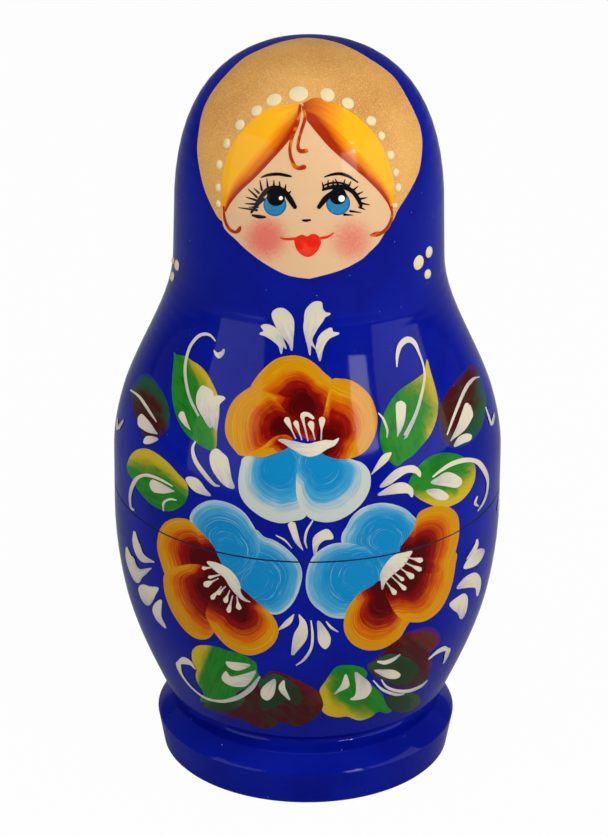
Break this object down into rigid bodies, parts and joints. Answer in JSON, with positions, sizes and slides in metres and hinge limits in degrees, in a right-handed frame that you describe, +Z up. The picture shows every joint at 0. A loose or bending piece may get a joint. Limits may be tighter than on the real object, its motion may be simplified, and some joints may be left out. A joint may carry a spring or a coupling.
{
  "type": "nesting doll",
  "caption": "Lacquered wooden nesting doll with a painted folk pattern. It opens at the belly, holds smaller dolls of the same shape and stands on a flat foot.",
  "frame": {"origin": "centre of the outer doll's foot, on the surface that it stands on", "axes": "+Z up along the turning axis, -Y towards the viewer of the painted face, +X to that viewer's right"},
  "size_m": [0.1028, 0.1028, 0.2],
  "materials": {
    "lacquered_wood": "hand-painted, under clear gloss lacquer"
  },
  "bodies": {
    "outer_doll_bottom": {"outer_doll_bottom": "lacquered_wood"},
    "outer_doll_top": {"outer_doll_top": "lacquered_wood"},
    "second_doll_bottom": {"second_doll_bottom": "lacquered_wood"},
    "second_doll_top": {"second_doll_top": "lacquered_wood"},
    "third_doll_bottom": {"third_doll_bottom": "lacquered_wood"},
    "third_doll_top": {"third_doll_top": "lacquered_wood"},
    "fourth_doll_bottom": {"fourth_doll_bottom": "lacquered_wood"},
    "fourth_doll_top": {"fourth_doll_top": "lacquered_wood"},
    "fifth_doll_bottom": {"fifth_doll_bottom": "lacquered_wood"},
    "fifth_doll_top": {"fifth_doll_top": "lacquered_wood"},
    "sixth_doll_bottom": {"sixth_doll_bottom": "lacquered_wood"},
    "sixth_doll_top": {"sixth_doll_top": "lacquered_wood"},
    "smallest_doll": {"smallest_doll": "lacquered_wood"}
  },
  "joints": [
    {"name": "second_doll_lift_out", "type": "slide", "parent": "outer_doll_bottom", "child": "second_doll_bottom", "axis": [0, 0, 1], "range_m": [0, 0.07]},
    {"name": "third_doll_lift_out", "type": "slide", "parent": "second_doll_bottom", "child": "third_doll_bottom", "axis": [0, 0, 1], "range_m": [0, 0.056]},
    {"name": "fourth_doll_lift_out", "type": "slide", "parent": "third_doll_bottom", "child": "fourth_doll_bottom", "axis": [0, 0, 1], "range_m": [0, 0.045]},
    {"name": "fifth_doll_lift_out", "type": "slide", "parent": "fourth_doll_bottom", "child": "fifth_doll_bottom", "axis": [0, 0, 1], "range_m": [0, 0.036]},
    {"name": "sixth_doll_lift_out", "type": "slide", "parent": "fifth_doll_bottom", "child": "sixth_doll_bottom", "axis": [0, 0, 1], "range_m": [0, 0.029]},
    {"name": "smallest_doll_lift_out", "type": "slide", "parent": "sixth_doll_bottom", "child": "smallest_doll", "axis": [0, 0, 1], "range_m": [0, 0.023]},
    {"name": "sixth_doll_top_lift_off", "type": "slide", "parent": "smallest_doll", "child": "sixth_doll_top", "axis": [0, 0, 1], "range_m": [0, 0.039]},
    {"name": "fifth_doll_top_lift_off", "type": "slide", "parent": "sixth_doll_top", "child": "fifth_doll_top", "axis": [0, 0, 1], "range_m": [0, 0.048]},
    {"name": "fourth_doll_top_lift_off", "type": "slide", "parent": "fifth_doll_top", "child": "fourth_doll_top", "axis": [0, 0, 1], "range_m": [0, 0.06]},
    {"name": "third_doll_top_lift_off", "type": "slide", "parent": "fourth_doll_top", "child": "third_doll_top", "axis": [0, 0, 1], "range_m": [0, 0.075]},
    {"name": "second_doll_top_lift_off", "type": "slide", "parent": "third_doll_top", "child": "second_doll_top", "axis": [0, 0, 1], "range_m": [0, 0.093]},
    {"name": "outer_doll_top_lift_off", "type": "slide", "parent": "second_doll_top", "child": "outer_doll_top", "axis": [0, 0, 1], "range_m": [0, 0.116]}
  ]
}
